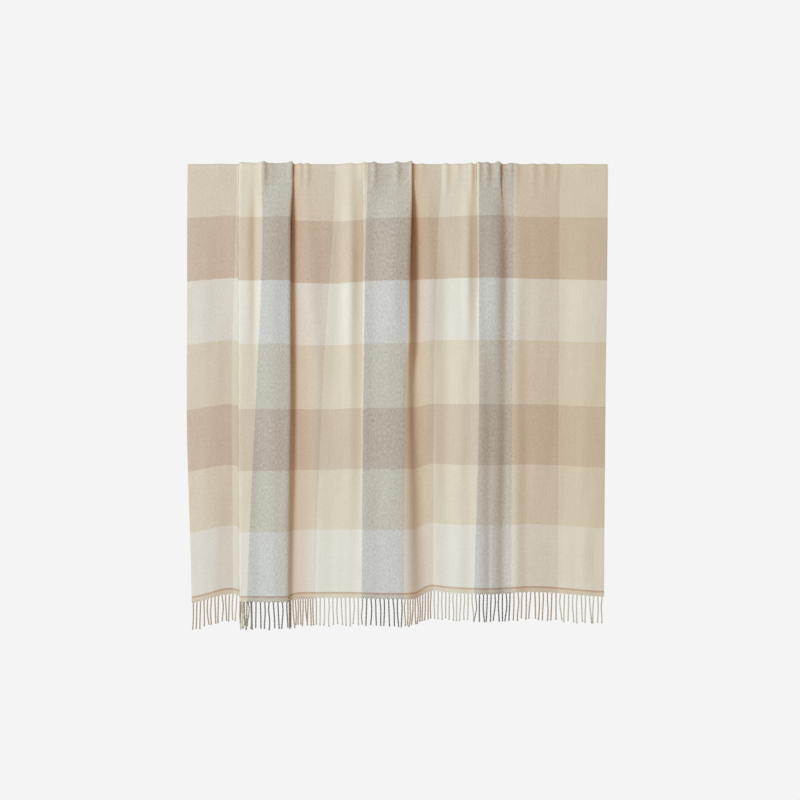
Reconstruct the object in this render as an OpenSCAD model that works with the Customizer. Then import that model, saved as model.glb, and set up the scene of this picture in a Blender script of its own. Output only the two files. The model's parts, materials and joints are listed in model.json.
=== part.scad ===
// Checked wool throw with a twisted fringe, hung over a round rail.
// Its three grey stripes are pinched into flat pleats that stand in front of the other stripes.
// The origin is on the rail's axis at mid width. +X runs along the rail, -Y is the front and +Z is up.
// The throw is one woven cloth. It is divided where it bends, so that each drop and each fringe can swing.

/* [Weave] */
// Flat width of a rose or cream warp stripe
stripe_w = 122.5; // [115:0.5:128]
// Flat width of a grey warp stripe
grey_w = 106.7; // [100:0.1:112]
// Flat height of one weft row
row_h = 161; // [150:1:170]
// Number of weft rows from end to end
row_n = 11; // [10:1:12]
// Thickness of the cloth
cloth_t = 2.2; // [1.6:0.1:2.4]
// Height of the brown contrast line at each end
line_h = 3; // [2:0.5:5]
// Height of the beige header between the contrast line and the fringe
header_h = 11.5; // [8:0.5:16]

/* [Hanging] */
// Diameter of the rail that the throw hangs on
rail_d = 25; // [22:1:30]
// Width of the gathered throw along the rail
hung_w = 1060; // [1050:1:1070]
// Length of cloth from the crest to the front contrast line
front_len = 1094; // [1000:1:1150]

/* [Pleats] */
// Distance between the layers of a pleat
layer_pitch = 4.2; // [4:0.1:5]
// How far a pleated grey panel arches out in front
proud_rise = 10; // [0:1:14]
// How far the panels between the pleats sink in
recess_rise = 4; // [0:0.5:6]
// Middle of the left pleat
left_pleat_x = -341; // [-350:1:-332]
// Width of the left pleat
left_pleat_w = 128; // [122:1:134]
// Depth of the left pleat's left tuck
left_pleat_tuck_a = 28; // [24:1:34]
// Depth of the left pleat's right tuck
left_pleat_tuck_b = 27; // [24:1:34]
// Middle of the middle pleat
middle_pleat_x = -29; // [-38:1:-20]
// Width of the middle pleat
middle_pleat_w = 122; // [116:1:128]
// Depth of the middle pleat's left tuck
middle_pleat_tuck_a = 10; // [9:1:20]
// Depth of the middle pleat's right tuck
middle_pleat_tuck_b = 19; // [14:1:26]
// Middle of the right pleat
right_pleat_x = 232; // [224:1:240]
// Width of the right pleat
right_pleat_w = 62; // [56:1:68]
// Depth of the right pleat's left tuck
right_pleat_tuck_a = 9; // [9:1:14]
// Depth of the right pleat's right tuck
right_pleat_tuck_b = 9; // [9:1:14]

/* [Fringe] */
// Diameter of a twisted tassel
tassel_d = 3.4; // [2.6:0.1:3.4]
// Length of the twisted part of a tassel
tassel_len = 64; // [45:1:85]
// Tassels on a rose or cream stripe
stripe_tassels = 11; // [8:1:11]
// Tassels on a grey stripe
grey_tassels = 10; // [7:1:10]

/* [Care label] */
// Width of the label tape
label_w = 14; // [10:1:16]
// Length of the loose part of the label
label_len = 53; // [30:1:60]
// Length of the label's sewn tab
tab_len = 5; // [4:0.5:8]
// Thickness of the folded label tape
label_t = 0.8; // [0.6:0.1:1]
// Distance of the label from the right selvedge
label_inset = 5; // [3:1:12]
// Height of the label's top edge above the front contrast line
label_up = 117; // [100:1:160]

/* [Hidden] */
FRONT_TASSELS = [
    "front_tassels_01_rose", "front_tassels_02_cream", "front_tassels_03_grey",
    "front_tassels_04_rose", "front_tassels_05_cream", "front_tassels_06_grey",
    "front_tassels_07_rose", "front_tassels_08_cream", "front_tassels_09_grey",
    "front_tassels_10_rose", "front_tassels_11_cream"
];
BACK_TASSELS = [
    "back_tassels_01_rose", "back_tassels_02_cream", "back_tassels_03_grey",
    "back_tassels_04_rose", "back_tassels_05_cream", "back_tassels_06_grey",
    "back_tassels_07_rose", "back_tassels_08_cream", "back_tassels_09_grey",
    "back_tassels_10_rose", "back_tassels_11_cream"
];

// Colours of the yarns
ROSE = [0.80, 0.74, 0.69];
CREAM = [0.87, 0.86, 0.80];
GREY = [0.62, 0.62, 0.62];
CLOTH = [0.83, 0.78, 0.70];
BROWN = [0.74, 0.60, 0.45];
BEIGE = [0.84, 0.78, 0.67];
WHITE = [0.94, 0.93, 0.90];
WARP = [ROSE, CREAM, GREY, ROSE, CREAM, GREY, ROSE, CREAM, GREY, ROSE, CREAM];

// Steps of an arched panel and of a half turn at a fold
ARCH_STEPS = 10;
TURN_STEPS = 6;
// Clearance between pieces that turn past each other
play = 0.3;
// Gap over the tassels, in which their tops turn
fringe_gap = 7;
stitch_d = 0.5;
stitch_n = 4;

rail_r = rail_d / 2;
half_w = hung_w / 2;
// Radius of the middle of the cloth on the rail, which is also where a drop leaves the rail
bend_r = rail_r + cloth_t / 2;
quarter_len = bend_r * PI / 2;
// Heights below the rail's axis
pleat_top = rail_r + 3.5;
front_line_z = -(front_len - quarter_len);
back_line_z = -(row_n * row_h - front_len - quarter_len);

turn_r = layer_pitch / 2;
layer_0 = -bend_r;
layer_1 = layer_0 - layer_pitch;
layer_2 = layer_1 - layer_pitch;

// Points of a panel from a to b that stands out by rise at its middle
function arch(a, b, rise) = [
    for (i = [0:ARCH_STEPS])
        let (t = i / ARCH_STEPS)
        [a.x + (b.x - a.x) * t, a.y - rise * 4 * t * (1 - t)]
];

// Points inside a half turn that starts at x, y and bulges to side, going out (-1) or in (+1) by one layer
function half_turn(x, y, side, way) = [
    for (i = [1:TURN_STEPS - 1])
        let (a = 180 * i / TURN_STEPS)
        [x + side * turn_r * sin(a), y + way * turn_r * (1 - cos(a))]
];

// Where a pleat's tucks turn back under it
function first_turn(p) = p[0] - p[1] / 2 + p[2] - turn_r;
function last_turn(p) = p[0] + p[1] / 2 - p[3] + turn_r;

// A flat pleat: out along the left tuck, across the proud panel and back in along the right tuck
function pleat(p) =
    let (left = p[0] - p[1] / 2 + turn_r, right = p[0] + p[1] / 2 - turn_r)
    concat(
        half_turn(first_turn(p), layer_0, 1, -1),
        [[first_turn(p), layer_1], [left, layer_1]],
        half_turn(left, layer_1, -1, -1),
        arch([left, layer_2], [right, layer_2], proud_rise),
        half_turn(right, layer_2, 1, 1),
        [[right, layer_1], [last_turn(p), layer_1]],
        half_turn(last_turn(p), layer_1, -1, 1)
    );

// A panel between two pleats or selvedges
function panel(x_from, x_to) = arch([x_from, layer_0], [x_to, layer_0], -recess_rise);

LEFT = [left_pleat_x, left_pleat_w, left_pleat_tuck_a, left_pleat_tuck_b];
MIDDLE = [middle_pleat_x, middle_pleat_w, middle_pleat_tuck_a, middle_pleat_tuck_b];
RIGHT = [right_pleat_x, right_pleat_w, right_pleat_tuck_a, right_pleat_tuck_b];
PLEATS = [LEFT, MIDDLE, RIGHT];

// Plan of the cloth below the rail, from the left selvedge to the right
PLAN = concat(
    panel(-half_w, first_turn(LEFT)),
    pleat(LEFT),
    panel(last_turn(LEFT), first_turn(MIDDLE)),
    pleat(MIDDLE),
    panel(last_turn(MIDDLE), first_turn(RIGHT)),
    pleat(RIGHT),
    panel(last_turn(RIGHT), half_w)
);

// Length along the plan at each of its points
RUN = [
    for (i = 0, s = 0; i < len(PLAN); s = s + (i + 1 < len(PLAN) ? norm(PLAN[i + 1] - PLAN[i]) : 0), i = i + 1) s
];
PLAN_LEN = RUN[len(RUN) - 1];

function across(p, i) =
    let (d = p[min(i + 1, len(p) - 1)] - p[max(i - 1, 0)])
    [-d.y, d.x] / norm(d);

// Outline of a band of the given thickness on both sides of a line of points
function band(p, t) = concat(
    [for (i = [0:len(p) - 1]) p[i] + across(p, i) * t / 2],
    [for (i = [len(p) - 1:-1:0]) p[i] - across(p, i) * t / 2]
);

// Point of the plan at a share of its length
function plan_at(share) =
    let (s = share * PLAN_LEN, i = max([for (j = [0:len(RUN) - 2]) if (RUN[j] <= s) j]))
    PLAN[i] + (PLAN[i + 1] - PLAN[i]) * (s - RUN[i]) / (RUN[i + 1] - RUN[i]);

// Every third stripe is grey
function is_grey(k) = k % 3 == 2;
function warp_w(k) = is_grey(k) ? grey_w : stripe_w;
function warp_start(k) = k == 0 ? 0 : warp_start(k - 1) + warp_w(k - 1);
function tassel_n(k) = is_grey(k) ? grey_tassels : stripe_tassels;
function tassel_at(k, j) = plan_at((warp_start(k) + warp_w(k) * (j + 0.5) / tassel_n(k)) / warp_start(11));

// Mean distance of the tassels from the middle plane, where a fringe turns
ALL_TASSELS = [for (k = [0:10]) for (j = [0:tassel_n(k) - 1]) tassel_at(k, j)];
FRINGE_Y = ALL_TASSELS * [0, 1] * [for (p = ALL_TASSELS) 1] / len(ALL_TASSELS);

label_x = half_w - label_inset - label_w;
label_top = front_line_z + label_up;
// Reverse face of the cloth at the label's inner edge, where it stands furthest back
label_share = (label_x - last_turn(RIGHT)) / (half_w - last_turn(RIGHT));
label_y = layer_0 + recess_rise * 4 * label_share * (1 - label_share) + cloth_t / 2 + play + label_t / 2;
label_hinge_z = label_top - tab_len - play - label_t / 2;

echo(plan_length = PLAN_LEN, flat_width = warp_start(11), hinge_y = layer_0, fringe_y = FRINGE_Y);
echo(front_line_z = front_line_z, back_line_z = back_line_z, label_y = label_y, label_hinge_z = label_hinge_z);
echo(label_x = label_x, label_top = label_top);

// Stretch of the pleated plan between two heights
module drape(z_low, z_high) {
    translate([0, 0, z_low])
        linear_extrude(z_high - z_low)
            polygon(band(PLAN, cloth_t));
}

// Flat strip from x_from to x_to that hangs at y from a round edge at z_top
module hung_strip(x_from, x_to, y, z_top, z_low, t) {
    translate([x_from, 0, 0])
        rotate([90, 0, 90])
            linear_extrude(x_to - x_from)
                polygon(concat(
                    [for (i = [0:8]) [y + t / 2 * cos(22.5 * i), z_top + t / 2 * sin(22.5 * i)]],
                    [[y - t / 2, z_low], [y + t / 2, z_low]]
                ));
}

// Cloth bent over the upper half of the rail, between two radii
module over_rail(x_from, x_to, r_in, r_out) {
    translate([x_from, 0, 0])
        rotate([90, 0, 90])
            linear_extrude(x_to - x_from)
                difference() {
                    circle(r_out, $fn = 96);
                    circle(r_in, $fn = 96);
                    translate([-2 * r_out, -2 * r_out])
                        square([4 * r_out, 2 * r_out + cloth_t / 2 + play]);
                }
}

module over_rail_cloth() {
    color(CLOTH) {
        over_rail(-half_w, half_w, rail_r, rail_r + cloth_t);
        // Three layers lie on the rail at each tuck
        for (p = PLEATS) {
            over_rail(p[0] - p[1] / 2, p[0] - p[1] / 2 + p[2], bend_r, rail_r + 3 * cloth_t);
            over_rail(p[0] + p[1] / 2 - p[3], p[0] + p[1] / 2, bend_r, rail_r + 3 * cloth_t);
        }
    }
}

module front_drop(line_z) {
    hung_strip(-half_w, half_w, layer_0, 0, -pleat_top - 6, cloth_t);
    drape(line_z, -pleat_top);
}

module front_cloth() color(CLOTH) front_drop(front_line_z);

module front_contrast_line() color(BROWN) drape(front_line_z - line_h, front_line_z);

module front_header_band() color(BEIGE) drape(front_line_z - line_h - header_h, front_line_z - line_h);

module back_cloth() color(CLOTH) mirror([0, 1, 0]) front_drop(back_line_z);

module back_contrast_line() color(BROWN) mirror([0, 1, 0]) drape(back_line_z - line_h, back_line_z);

module back_header_band() {
    color(BEIGE)
        mirror([0, 1, 0])
            drape(back_line_z - line_h - header_h, back_line_z - line_h);
}

// The tassels of warp stripe k below a contrast line
module tassels(k, line_z) {
    for (j = [0:tassel_n(k) - 1])
        let (p = tassel_at(k, j))
        translate([p.x, p.y, line_z - line_h - header_h - fringe_gap - tassel_len])
            cylinder(h = tassel_len, d = tassel_d, $fn = 24);
}

module front_tassels(k) color(WARP[k]) tassels(k, front_line_z);

module back_tassels(k) color(WARP[k]) mirror([0, 1, 0]) tassels(k, back_line_z);

module care_label_tab() {
    color(WHITE)
        translate([label_x, label_y - label_t / 2, label_top - tab_len])
            cube([label_w, label_t, tab_len]);
}

module care_label() {
    color(WHITE)
        hung_strip(label_x, label_x + label_w, label_y, label_hinge_z, label_hinge_z - label_len, label_t);
}

// A row of stitches on the face of the tab
module label_stitches() {
    stitch_pitch = label_w / stitch_n;
    color(BEIGE)
        for (i = [0:stitch_n - 1])
            translate([label_x + (i + 0.2) * stitch_pitch, label_y + label_t / 2 + stitch_d / 2, label_top - tab_len / 2])
                rotate([0, 90, 0])
                    cylinder(h = 0.6 * stitch_pitch, d = stitch_d, $fn = 16);
}

over_rail_cloth();
front_cloth();
front_contrast_line();
front_header_band();
back_cloth();
back_contrast_line();
back_header_band();
care_label_tab();
care_label();
label_stitches();
for (k = [0:10]) {
    front_tassels(k);
    back_tassels(k);
}
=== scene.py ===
import json
import math
import random

import bpy
import numpy as np
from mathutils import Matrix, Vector


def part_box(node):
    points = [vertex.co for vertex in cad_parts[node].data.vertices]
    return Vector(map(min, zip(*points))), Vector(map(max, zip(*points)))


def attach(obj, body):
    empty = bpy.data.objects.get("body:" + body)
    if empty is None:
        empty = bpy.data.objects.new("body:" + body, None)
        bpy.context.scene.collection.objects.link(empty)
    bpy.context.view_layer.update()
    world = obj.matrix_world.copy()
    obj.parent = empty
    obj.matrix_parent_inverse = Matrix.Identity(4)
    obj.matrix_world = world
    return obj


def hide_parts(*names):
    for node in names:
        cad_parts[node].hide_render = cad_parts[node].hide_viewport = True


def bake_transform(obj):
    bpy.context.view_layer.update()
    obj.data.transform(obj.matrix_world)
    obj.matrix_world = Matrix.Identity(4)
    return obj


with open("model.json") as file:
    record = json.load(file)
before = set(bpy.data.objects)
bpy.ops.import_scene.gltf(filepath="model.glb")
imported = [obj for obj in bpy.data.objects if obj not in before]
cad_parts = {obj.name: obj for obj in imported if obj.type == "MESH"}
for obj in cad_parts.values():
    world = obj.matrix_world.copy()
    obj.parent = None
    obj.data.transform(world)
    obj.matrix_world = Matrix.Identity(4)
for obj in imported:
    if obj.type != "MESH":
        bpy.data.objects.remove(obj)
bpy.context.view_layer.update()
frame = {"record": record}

MM = 0.001

# ---- Sizes that the frame gives ----

RAIL_R = frame["record"]["mounts"][0]["dims"]["r_mm"] * MM
FRONT_LINE_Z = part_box("front_contrast_line")[1][2]
BACK_LINE_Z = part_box("back_contrast_line")[1][2]
LINE_H = FRONT_LINE_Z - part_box("front_contrast_line")[0][2]
HEADER_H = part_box("front_header_band")[1][2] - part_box("front_header_band")[0][2]
FRONT_TIP_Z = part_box("front_tassels_01_rose")[0][2]
FRINGE_LEN = FRONT_LINE_Z - LINE_H - HEADER_H - FRONT_TIP_Z

# ---- The cloth as woven ----
# u runs across the stripes from the left selvedge, and w runs up the warp from the contrast line of the
# front drop.

CLOTH_T = 2.2 * MM
ROW_H = 161 * MM
STRIPE_W = 122.5 * MM
GREY_W = 106.7 * MM
STRIPE_COLOURS = ["rose", "cream", "grey"] * 3 + ["rose", "cream"]
STRIPE_WIDTHS = [GREY_W if c == "grey" else STRIPE_W for c in STRIPE_COLOURS]
STRIPE_EDGES = np.concatenate([[0], np.cumsum(STRIPE_WIDTHS)])
ROW_COLOURS = ["white", "beige", "brown", "beige"] + ["white", "brown", "beige"] * 2 + ["white"]
CLOTH_W = float(STRIPE_EDGES[-1])
WOVEN_LEN = ROW_H * len(ROW_COLOURS)
FULL_ROWS_IN_FRONT = 6

# ---- How it hangs ----
# Each value that changes downwards is given at these depths below the rail's axis.

BEND_R = RAIL_R + CLOTH_T / 2
QUARTER = BEND_R * math.pi / 2
DEPTHS = [0, 0.135, 0.260, 0.560, 1.073]


def smooth_curve(at, knots, values):
    """A cubic through the values at the knots, level beyond its ends, with slopes that never overshoot."""
    knots, values = np.asarray(knots, float), np.asarray(values, float)
    steps = np.diff(values) / np.diff(knots)
    slopes = np.zeros(len(values))
    for i in range(1, len(values) - 1):
        a, b = steps[i - 1], steps[i]
        slopes[i] = 0 if a * b <= 0 else 2 * a * b / (a + b)
    slopes[0], slopes[-1] = steps[0] / 2, steps[-1] / 2
    at = np.clip(at, knots[0], knots[-1])
    i = np.clip(np.searchsorted(knots, at, side="right") - 1, 0, len(knots) - 2)
    h = knots[i + 1] - knots[i]
    t = (at - knots[i]) / h
    return (
        values[i] * (1 + 2 * t) * (1 - t) ** 2
        + values[i + 1] * t * t * (3 - 2 * t)
        + slopes[i] * h * t * (1 - t) ** 2
        + slopes[i + 1] * h * t * t * (t - 1)
    )


class Fold:
    """One edge of a pleat. side is -1 where the edge points left and 1 where it points right, edge is where
    it lies along the rail, tuck how far the cloth turns back under it (negative once it has opened), inner
    and outer how far the cloth on either side of it stands out from the rail's front, and span its half
    width. All are in millimetres, at each of DEPTHS."""

    def __init__(self, side, edge, tuck, inner, outer, span):
        self.side = side
        self.edge, self.tuck = edge, tuck
        self.inner, self.outer = inner, outer
        self.span = span

    def at(self, name, depth):
        return smooth_curve(depth, DEPTHS, getattr(self, name)) * MM


# Three pleats, each between an edge that points left and one that points right, with a grey stripe on each
FOLDS = [
    Fold(
        side=-1,
        edge=(-405, -405, -405, -405, -403),
        tuck=(28, 25, 26, 28, 35),
        inner=(0, 0, 0, 0, 0),
        outer=(4.4, 4.4, 4.4, 4.4, 5),
        span=(24, 23, 23, 24, 27),
    ),
    Fold(
        side=1,
        edge=(-266, -273, -273, -272, -276),
        tuck=(20, 20, 18, 2, -7),
        inner=(0, -8, -8, -7, -7),
        outer=(4.4, 13, 12, 14, 14),
        span=(20, 20, 21, 36, 36),
    ),
    Fold(
        side=-1,
        edge=(-89, -88, -89, -91, -93),
        tuck=(20, 15, 10, 2, -10),
        inner=(0, -8, -10, -4, 0),
        outer=(4.4, -2, -4, 1, 2),
        span=(18, 18, 19, 22, 34),
    ),
    Fold(
        side=1,
        edge=(38, 34, 31, 33, 45),
        tuck=(20, 20, 16, -12, -26),
        inner=(0, -12, -16, -9, -11),
        outer=(4.4, 14, 16, 14, 14),
        span=(18, 20, 22, 26, 34),
    ),
    Fold(
        side=-1,
        edge=(200, 202, 203, 205, 200),
        tuck=(13, 9, 5, -12, -24),
        inner=(0, -6, -9, 0, 0),
        outer=(4.4, -1, -4, 0.5, 0),
        span=(14, 15, 16, 20, 30),
    ),
    Fold(
        side=1,
        edge=(263, 268, 268, 266, 258),
        tuck=(5, -6, -10, -12, -12),
        inner=(0, 0, 0, 0, 0),
        outer=(3, 1, 2, 3, 3),
        span=(12, 14, 16, 16, 18),
    ),
]

# Where each stripe's left edge, and last the right selvedge, lies along the rail, in millimetres at DEPTHS
WARP_X = [
    (-535, -536, -536, -537, -524),
    (-414, -417, -421, -427, -423),
    (-350, -346, -349, -364, -387),
    (-267, -274, -274, -273, -278),
    (-162, -169, -177, -195, -213),
    (-79, -83, -86, -90, -94),
    (27, 26, 24, 18, 14),
    (110, 102, 97, 90, 88),
    (207, 206, 206, 206, 194),
    (294, 294, 294, 291, 288),
    (411, 411, 411, 409, 407),
    (535, 534, 533, 529, 525),
]

# At these places across the cloth: the height of the first row edge below the rail, the height of the
# front contrast line, and how far the back one lies above its place in the frame, in millimetres
ROW_U = (0, 122, 190, 330, 410, 500, 560, 650, 745, 825, 880, 1000, 1110, 1300)
FIRST_ROW_Z = (-126, -120, -123, -122, -132, -134, -129, -125, -124, -124, -120, -118, -123, -125)
FRONT_HEM_Z = (
    *(-1086, -1064, -1085, -1085, -1076, -1075, -1075),
    *(-1077, -1076, -1057, -1062, -1065, -1060, -1072),
)
BACK_HEM_DZ = (6, -4, 5, 7, -3, -5, 0, 6, 2, -7, -4, 3, -4, 5)

# Soft ridges, and valleys where the height is negative: place along the rail at DEPTHS, half width, and
# height at DEPTHS
SWELLS = [
    ((-486,) * 5, 52, (0, 1, 3, 6, 13)),
    ((-364,) * 5, 11, (-1, -6, -5, -1, 0)),
    ((-318,) * 5, 26, (-2.4, 2, 2.4, 3, 3)),
    ((-238, -232, -226, -206, -206), 24, (0, 6, 7, 6, 5)),
    ((-150,) * 5, 22, (0, -3, -2, 0, 0)),
    ((-122,) * 5, 16, (3.5, 7, 9, 4, 0)),
    ((-30,) * 5, 30, (-2.6, 1, 2, 3, 2)),
    ((72, 74, 76, 80, 92), 24, (0, 8, 10, 6, 1)),
    ((118, 122, 124, 126, 126), 20, (0, 0, -2, -4, -3)),
    ((163,) * 5, 22, (0, 0, 1, 3, 2)),
    ((178,) * 5, 12, (2, 5, 6, 0, 0)),
    ((210,) * 5, 22, (0, 0, 0, 7, 8)),
    ((232,) * 5, 15, (-2, 2, 2.5, 1, 0)),
    ((268, 278, 280, 277, 272), 18, (0, -10, -12, -5, -5)),
    ((300,) * 5, 18, (0, 2, 3, 6, 6)),
    ((352,) * 5, 30, (0, 0, 1, 2, 2)),
    ((420,) * 5, 40, (0, 0, -1, -3, -3)),
    ((478,) * 5, 24, (0, 0, 0, 1, 2)),
]
# Short ripples where the gathered cloth turns over the rail: place, half width, height, foot
RIPPLES = [
    (-398, 9, 1.4, 60), (-341, 7, 4.8, 70), (-322, 7, 1.7, 60), (-272, 6, 3.6, 40), (-249, 6, 3.1, 60),
    (-231, 6, 3.4, 75), (-91, 9, 3.1, 60), (-60, 6, 3.6, 65), (-2, 7, 4.2, 70), (34, 8, 4.8, 50),
    (62, 8, 1.7, 60), (123, 7, 3.1, 110), (152, 8, 1.7, 60), (188, 5, 3.4, 110), (205, 5, 2.4, 60),
    (228, 7, 4.2, 60), (256, 8, 4.2, 60), (289, 8, 3.6, 60), (302, 6, 2.2, 90), (345, 8, 2.0, 90),
    (373, 7, 2.0, 80), (406, 7, 1.8, 80), (-455, 16, 1.1, 60), (470, 16, 1.1, 60),
]
# Slow waves over the whole cloth: length across, length down, height, all in millimetres
WAVES = [(310, 1500, 2.0), (171, 900, 1.2), (97, 620, 0.6), (53, 410, 0.3), (31, 260, 0.15)]
WAVE_SEED = 7
# How far a wave leans off the vertical at most, and the share of its height that comes and goes downwards
WAVE_LEAN, WAVE_FADE = 0.2, 0.4
# The waves are full-grown this far below the rail
WAVES_FROM = 160 * MM
# The back drop's pleats are shallower by this share, from this far below the rail
BACK_FLATTER, BACK_FLATTER_FROM = 0.3, 120 * MM
# The share of its width over which a fold rises while it is shut, how much more of it once it has
# opened, and the length of tuck over which it opens
SHUT_RISE, OPEN_RISE, OPENING = 0.34, 0.6, 24 * MM

# Points along the hanging cloth's line, between two folds and in a fold
PANEL_STEPS = 60
FOLD_STEPS = 90
# The search for where a fold turns back: the farthest place it may try, and how often it halves the rest
FARTHEST_TURN = 0.4999
HALVINGS = 50


def ease(t):
    t = np.clip(t, 0, 1)
    return t * t * (3 - 2 * t)


def turn_place(span, tuck):
    """Where a fold turns back, as a share of its half span, so that it turns back by tuck."""
    low, high = np.zeros_like(tuck), np.full_like(tuck, FARTHEST_TURN)
    for _ in range(HALVINGS):
        mid = (low + high) / 2
        short = 2 * span * (np.tan(math.pi * mid) / math.pi - mid) < tuck
        low, high = np.where(short, mid, low), np.where(short, high, mid)
    return low


def fold_path(fold, depth):
    """The S of one fold at each depth: x and how far it stands out, with its two ends."""
    span, tuck = fold.at("span", depth), fold.at("tuck", depth)
    turn = np.where(tuck > 0, turn_place(span, np.maximum(tuck, 1e-6)), 0)
    turned_back = span / (math.pi * np.cos(math.pi * turn))
    opened = span / math.pi * np.clip(1 + tuck / span, 0, 1)
    swing = np.where(tuck > 0, turned_back, opened)
    centre = fold.at("edge", depth) - fold.side * np.maximum(tuck, 0) / 2
    t = np.linspace(-1, 1, FOLD_STEPS)[None, :]
    x = centre[:, None] + span[:, None] * t - swing[:, None] * np.sin(math.pi * t)
    soft = (SHUT_RISE + OPEN_RISE * ease(0.5 - tuck / OPENING))[:, None]
    early, late = t + turn[:, None], t - turn[:, None]
    rise = ease(early / soft / 2 + 0.5) / 2 + ease(late / soft / 2 + 0.5) / 2
    # An open fold's rise can be wider than the fold: it is stretched to run from 0 to 1 between its ends
    first, last = rise[:, :1], rise[:, -1:]
    rise = (rise - first) / (last - first)
    inner, outer = fold.at("inner", depth)[:, None], fold.at("outer", depth)[:, None]
    stand = inner + (outer - inner) * (rise if fold.side < 0 else 1 - rise)
    return x, stand, centre - span, centre + span


def plan(depth, side):
    """The line of the hanging cloth at each depth: x, and how far it stands out from the rail. side is -1
    on the front drop and 1 on the back drop, which is flatter."""
    xs, stands = [], []
    left = smooth_curve(depth, DEPTHS, WARP_X[0]) * MM
    level = np.zeros_like(depth)
    for fold in FOLDS:
        x, stand, start, end = fold_path(fold, depth)
        t = np.linspace(0, 1, PANEL_STEPS, endpoint=False)[None, :]
        xs.append(left[:, None] + (start - left)[:, None] * t)
        stands.append(level[:, None] + (stand[:, 0] - level)[:, None] * ease(t))
        xs.append(x)
        stands.append(stand)
        left, level = end, stand[:, -1]
    right = smooth_curve(depth, DEPTHS, WARP_X[-1]) * MM
    t = np.linspace(0, 1, PANEL_STEPS + 1)[None, 1:]
    xs.append(left[:, None] + (right - left)[:, None] * t)
    stands.append(level[:, None] * (1 - ease(t)))
    x, stand = np.hstack(xs), np.hstack(stands)
    for places, half, heights in SWELLS:
        bell = np.exp(-(((x / MM - smooth_curve(depth, DEPTHS, places)[:, None]) / half) ** 2))
        stand = stand + bell * smooth_curve(depth, DEPTHS, heights)[:, None] * MM
    if side > 0:
        stand = stand * (1 - BACK_FLATTER * ease(depth / BACK_FLATTER_FROM))[:, None]
    rng = random.Random(WAVE_SEED + side)
    grown = ease(depth / WAVES_FROM)[:, None]
    for across, down, height in WAVES:
        a, b = rng.uniform(0, 2 * math.pi), rng.uniform(0, 2 * math.pi)
        lean = rng.uniform(-WAVE_LEAN, WAVE_LEAN)
        wave = np.sin(2 * math.pi * (x / MM + lean * depth[:, None] / MM) / across + a)
        wave *= 1 - WAVE_FADE + WAVE_FADE * np.sin(2 * math.pi * depth[:, None] / MM / down + b)
        stand = stand + grown * wave * height * MM
    return x, stand


def woven_places(depth, side):
    """x and stand at every column of the cloth at each depth, with each stripe edge where WARP_X says."""
    x, stand = plan(depth, side)
    steps = np.hypot(np.diff(x), np.diff(stand))
    run = np.hstack([np.zeros((len(depth), 1)), np.cumsum(steps, axis=1)])
    goals = np.array([smooth_curve(depth, DEPTHS, places) for places in WARP_X[1:-1]]) * MM
    out_x, out_stand = np.empty((len(depth), len(COLUMNS))), np.empty((len(depth), len(COLUMNS)))
    for i in range(len(depth)):
        marks = [0.0]
        for goal in goals[:, i]:
            cross = np.nonzero((x[i, :-1] - goal) * (x[i, 1:] - goal) <= 0)[0]
            j = cross[np.argmax(stand[i, cross])]
            share = (goal - x[i, j]) / (x[i, j + 1] - x[i, j] + 1e-12)
            marks.append(run[i, j] + share * (run[i, j + 1] - run[i, j]))
        marks.append(run[i, -1])
        along = np.interp(COLUMNS, STRIPE_EDGES, marks)
        out_x[i] = np.interp(along, run[i], x[i])
        out_stand[i] = np.interp(along, run[i], stand[i])
    return out_x, out_stand


# How far apart the cloth's points lie across it, over the rail, and down it once it is well below the rail
COLUMN_STEP = 3.3 * MM
ROWS_OVER = 17
ROWS_NEAR = np.array([2, 4.5, 7.5, 11, 15, 20, 26, 33, 41, 50]) * MM
ROW_STEP = 9.5 * MM
# How many columns away a wall still adds to a point's painted shade, and how much the wall away from the lamp
# counts
OPEN_REACH = 30
FAR_WALL_SHARE = 0.3
# From where to where below the rail the pinch of the pleats fades away, and how much it deepens the shade
# painted into them
PINCH_START, PINCH_END = 120 * MM, 300 * MM
PINCH = 1.2
# How shut any place below there can count, which limits the shade painted into it
MOST_SHUT = 0.76
COLUMNS = np.linspace(0, CLOTH_W, int(round(CLOTH_W / COLUMN_STEP)) + 1)
FIRST_ROW = smooth_curve(COLUMNS / MM, ROW_U, FIRST_ROW_Z) * MM
FRONT_HEM = smooth_curve(COLUMNS / MM, ROW_U, FRONT_HEM_Z) * MM
BACK_HEM = smooth_curve(COLUMNS / MM, ROW_U, BACK_HEM_DZ) * MM + BACK_LINE_Z
ROWS_IN_FRONT = ROW_H * FULL_ROWS_IN_FRONT
# The upper rows carry the lower ones and stretch, so the rows halfway down hang this much lower
ROW_STRETCH = 7 * MM
CREST_W = ROWS_IN_FRONT - FIRST_ROW + QUARTER
# How far the cloth stands out where the label lies against it, and how far from the label that ends
LABEL_STAND = -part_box("care_label")[0][1] + CLOTH_T / 2 - BEND_R
LABEL_REACH_X, LABEL_REACH_Z = 40 * MM, 60 * MM
# The flap starts this far below its tab, at the line that it turns on
LABEL_GAP = 0.5 * MM


def row_lengths(length):
    """How far from the crest each row of points lies: close together over the rail, wider below it."""
    over = np.linspace(0, QUARTER, ROWS_OVER)
    near = QUARTER + ROWS_NEAR
    count = int(round((length - near[-1]) / ROW_STEP))
    return np.concatenate([over, near, np.linspace(near[-1], length, count + 1)[1:]])


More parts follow.
